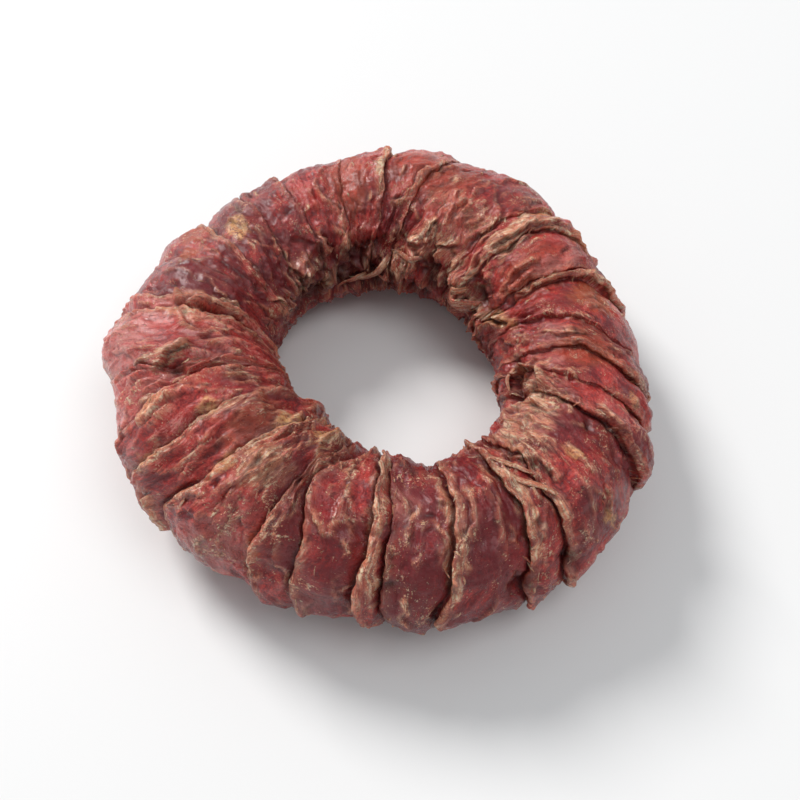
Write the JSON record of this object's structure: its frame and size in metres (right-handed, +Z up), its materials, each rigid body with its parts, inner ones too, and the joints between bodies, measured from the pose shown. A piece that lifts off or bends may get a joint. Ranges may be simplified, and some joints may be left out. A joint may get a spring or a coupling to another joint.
{
  "type": "ring-shaped dried duck dog treat",
  "caption": "Thick ring of dried duck breast strips wound round and round and dried hard into one chew, lying flat, with an open hole through the middle.",
  "frame": {"origin": "middle of the ring's outline, on the surface it rests on", "axes": "+Z up along the ring's axis, away from the surface it lies on; +X and +Y lie in the plane of the ring"},
  "size_m": [0.1624, 0.1674, 0.0504],
  "materials": {
    "dried_duck": "satin, uneven, with drier tan edges"
  },
  "bodies": {
    "root": {"duck_ring": "dried_duck"}
  },
  "joints": []
}
